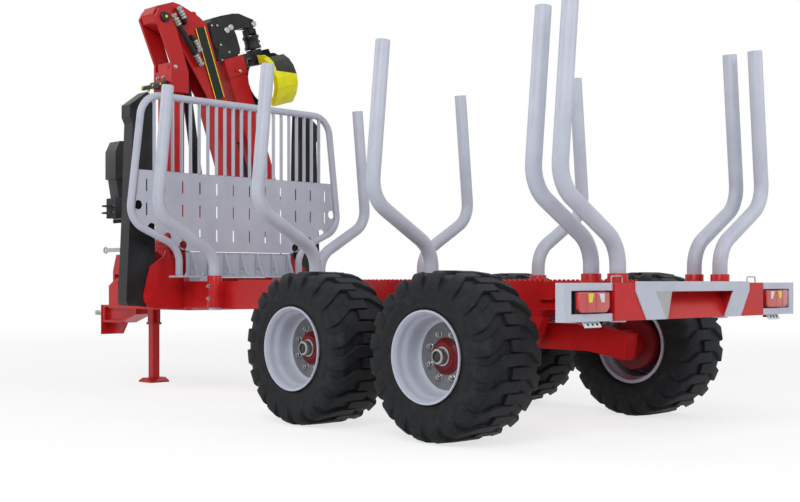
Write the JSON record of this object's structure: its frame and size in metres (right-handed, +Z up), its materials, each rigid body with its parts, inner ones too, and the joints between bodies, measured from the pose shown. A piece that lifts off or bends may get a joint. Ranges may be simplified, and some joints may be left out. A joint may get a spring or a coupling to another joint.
{
  "type": "forestry crane trailer",
  "caption": "Bogie timber trailer with leaning stakes, a slotted headboard, folding stabiliser legs and a folded hydraulic loading crane with a grapple.",
  "frame": {"origin": "on the floor under the middle of the overall length, on the trailer's centre plane", "axes": "+X forward to the towing eye, +Y to the trailer's left, +Z up"},
  "size_m": [6.868, 2.53, 3.552],
  "materials": {
    "red_paint": "semi-gloss",
    "silver_paint": "satin",
    "black_paint": "satin",
    "yellow_paint": "semi-gloss",
    "hub_paint": "satin",
    "tyre": "matte",
    "lamp_lens": "gloss",
    "chrome_rod": "polished"
  },
  "bodies": {
    "trailer": {"bogie_left": "red_paint", "bogie_pivot": "black_paint", "bogie_right": "red_paint", "bumper": "red_paint", "bumper_trim": "silver_paint", "crane_base": "red_paint", "drawbar": "red_paint", "frame": "red_paint", "headboard_foot": "silver_paint", "headboard_frame": "silver_paint", "headboard_plate": "silver_paint", "hose_stand": "red_paint", "jack": "silver_paint", "lamp_frames": "silver_paint", "lamps": "lamp_lens", "stabiliser_brackets": "red_paint", "stakes_left": "silver_paint", "stakes_right": "silver_paint", "towing_eye": "silver_paint"},
    "column": {"column": "red_paint", "valve_unit": "black_paint"},
    "boom": {"boom": "red_paint"},
    "jib": {"jib": "red_paint"},
    "tip": {"boom_tip": "black_paint"},
    "link": {"link": "black_paint"},
    "rotator": {"rotator": "black_paint"},
    "grapple": {"grapple_head": "black_paint"},
    "jaw_rear": {"jaw_rear": "yellow_paint"},
    "jaw_front": {"jaw_front": "yellow_paint"},
    "lift_barrel": {"lift_barrel": "black_paint"},
    "lift_rod": {"lift_rod": "chrome_rod"},
    "jib_barrel": {"jib_barrel": "black_paint"},
    "jib_rod": {"jib_rod": "chrome_rod"},
    "leg_left": {"leg_left": "black_paint"},
    "leg_barrel_left": {"leg_barrel_left": "black_paint"},
    "leg_rod_left": {"leg_rod_left": "chrome_rod"},
    "leg_right": {"leg_right": "black_paint"},
    "leg_barrel_right": {"leg_barrel_right": "black_paint"},
    "leg_rod_right": {"leg_rod_right": "chrome_rod"},
    "wheel_left_front": {"tyre_left_front": "tyre", "rim_left_front": "silver_paint", "hub_left_front": "hub_paint"},
    "wheel_left_rear": {"tyre_left_rear": "tyre", "rim_left_rear": "silver_paint", "hub_left_rear": "hub_paint"},
    "wheel_right_front": {"tyre_right_front": "tyre", "rim_right_front": "silver_paint", "hub_right_front": "hub_paint"},
    "wheel_right_rear": {"tyre_right_rear": "tyre", "rim_right_rear": "silver_paint", "hub_right_rear": "hub_paint"}
  },
  "joints": [
    {"name": "wheel_left_front_turn", "type": "hinge", "parent": "trailer", "child": "wheel_left_front", "pos_m": [-1.171, 1.015, 0.5105], "axis": [0, 1, 0], "continuous": true},
    {"name": "wheel_left_rear_turn", "type": "hinge", "parent": "trailer", "child": "wheel_left_rear", "pos_m": [-2.401, 1.015, 0.5105], "axis": [0, 1, 0], "continuous": true},
    {"name": "wheel_right_front_turn", "type": "hinge", "parent": "trailer", "child": "wheel_right_front", "pos_m": [-1.171, -1.015, 0.5105], "axis": [0, 1, 0], "continuous": true},
    {"name": "wheel_right_rear_turn", "type": "hinge", "parent": "trailer", "child": "wheel_right_rear", "pos_m": [-2.401, -1.015, 0.5105], "axis": [0, 1, 0], "continuous": true},
    {"name": "crane_slew", "type": "hinge", "parent": "trailer", "child": "column", "pos_m": [2.124, 0, 1.29], "axis": [0, 0, 1], "range_deg": [-25, 205]},
    {"name": "boom_luff", "type": "hinge", "parent": "column", "child": "boom", "pos_m": [2.124, 0.17, 3.37], "axis": [-1, 0, 0], "range_deg": [0, 105]},
    {"name": "jib_fold", "type": "hinge", "parent": "boom", "child": "jib", "pos_m": [2.124, -0.95, 1.4], "axis": [1, 0, 0], "range_deg": [0, 125]},
    {"name": "jib_extension", "type": "slide", "parent": "jib", "child": "tip", "axis": [0, 0.342, 0.9397], "range_m": [0, 0.9]},
    {"name": "link_swing", "type": "hinge", "parent": "tip", "child": "link", "pos_m": [2.124, -0.885, 3.482], "axis": [-1, 0, 0], "range_deg": [0, 95]},
    {"name": "rotator_swing", "type": "hinge", "parent": "link", "child": "rotator", "pos_m": [2.124, -0.9078, 3.40741], "axis": [0, 0.9563, -0.2924], "range_deg": [-20, 20]},
    {"name": "grapple_turn", "type": "hinge", "parent": "rotator", "child": "grapple", "pos_m": [2.124, -0.9578, 3.24388], "axis": [0, 0.2924, 0.9563], "range_deg": [-12, 12]},
    {"name": "jaw_rear_open", "type": "hinge", "parent": "grapple", "child": "jaw_rear", "pos_m": [2.024, -0.99084, 3.13582], "axis": [0, 0.9563, -0.2924], "range_deg": [-29.5, 35]},
    {"name": "jaw_front_open", "type": "hinge", "parent": "grapple", "child": "jaw_front", "pos_m": [2.224, -0.99084, 3.13582], "axis": [0, 0.9563, -0.2924], "range_deg": [-36, 30]},
    {"name": "lift_barrel_tilt", "type": "hinge", "parent": "column", "child": "lift_barrel", "pos_m": [2.124, -0.35, 1.6], "axis": [1, 0, 0], "range_deg": [-0.5, 0.8]},
    {"name": "lift_rod_slide", "type": "slide", "parent": "lift_barrel", "child": "lift_rod", "axis": [0, 0.1563, 0.9877], "range_m": [-0.001, 0.53685]},
    {"name": "jib_barrel_tilt", "type": "hinge", "parent": "boom", "child": "jib_barrel", "pos_m": [2.124, -0.734, 2.35], "axis": [1, 0, 0], "range_deg": [-1.73, 0.5]},
    {"name": "jib_rod_slide", "type": "slide", "parent": "jib_barrel", "child": "jib_rod", "axis": [0, -0.3228, -0.9465], "range_m": [-0.001, 0.31308]},
    {"name": "leg_left_lower", "type": "hinge", "parent": "trailer", "child": "leg_left", "pos_m": [1.264, 0.834, 0.8], "axis": [-1, 0, 0], "range_deg": [0, 112]},
    {"name": "leg_barrel_left_tilt", "type": "hinge", "parent": "trailer", "child": "leg_barrel_left", "pos_m": [1.264, 0.74, 0.96], "axis": [-1, 0, 0], "range_deg": [-0.5, 112.76]},
    {"name": "leg_rod_left_slide", "type": "slide", "parent": "leg_barrel_left", "child": "leg_rod_left", "axis": [0, 0.2286, 0.9735], "range_m": [-0.001, 0.30926]},
    {"name": "leg_right_lower", "type": "hinge", "parent": "trailer", "child": "leg_right", "pos_m": [1.264, -0.834, 0.8], "axis": [1, 0, 0], "range_deg": [0, 112]},
    {"name": "leg_barrel_right_tilt", "type": "hinge", "parent": "trailer", "child": "leg_barrel_right", "pos_m": [1.264, -0.74, 0.96], "axis": [1, 0, 0], "range_deg": [-0.5, 112.76]},
    {"name": "leg_rod_right_slide", "type": "slide", "parent": "leg_barrel_right", "child": "leg_rod_right", "axis": [0, -0.2286, 0.9735], "range_m": [-0.001, 0.30926]}
  ],
  "couplings": [
    {"joint": "lift_barrel_tilt", "follows": "boom_luff", "ratio": 0.00287},
    {"joint": "lift_rod_slide", "follows": "boom_luff", "m_per_rad": 0.2924},
    {"joint": "jib_barrel_tilt", "follows": "jib_fold", "ratio": -0.00983},
    {"joint": "jib_rod_slide", "follows": "jib_fold", "m_per_rad": 0.14305},
    {"joint": "leg_barrel_left_tilt", "follows": "leg_left_lower", "ratio": 1.0024},
    {"joint": "leg_rod_left_slide", "follows": "leg_left_lower", "m_per_rad": 0.1577},
    {"joint": "leg_barrel_right_tilt", "follows": "leg_right_lower", "ratio": 1.0024},
    {"joint": "leg_rod_right_slide", "follows": "leg_right_lower", "m_per_rad": 0.1577},
    {"joint": "jaw_front_open", "follows": "jaw_rear_open", "ratio": -1}
  ]
}
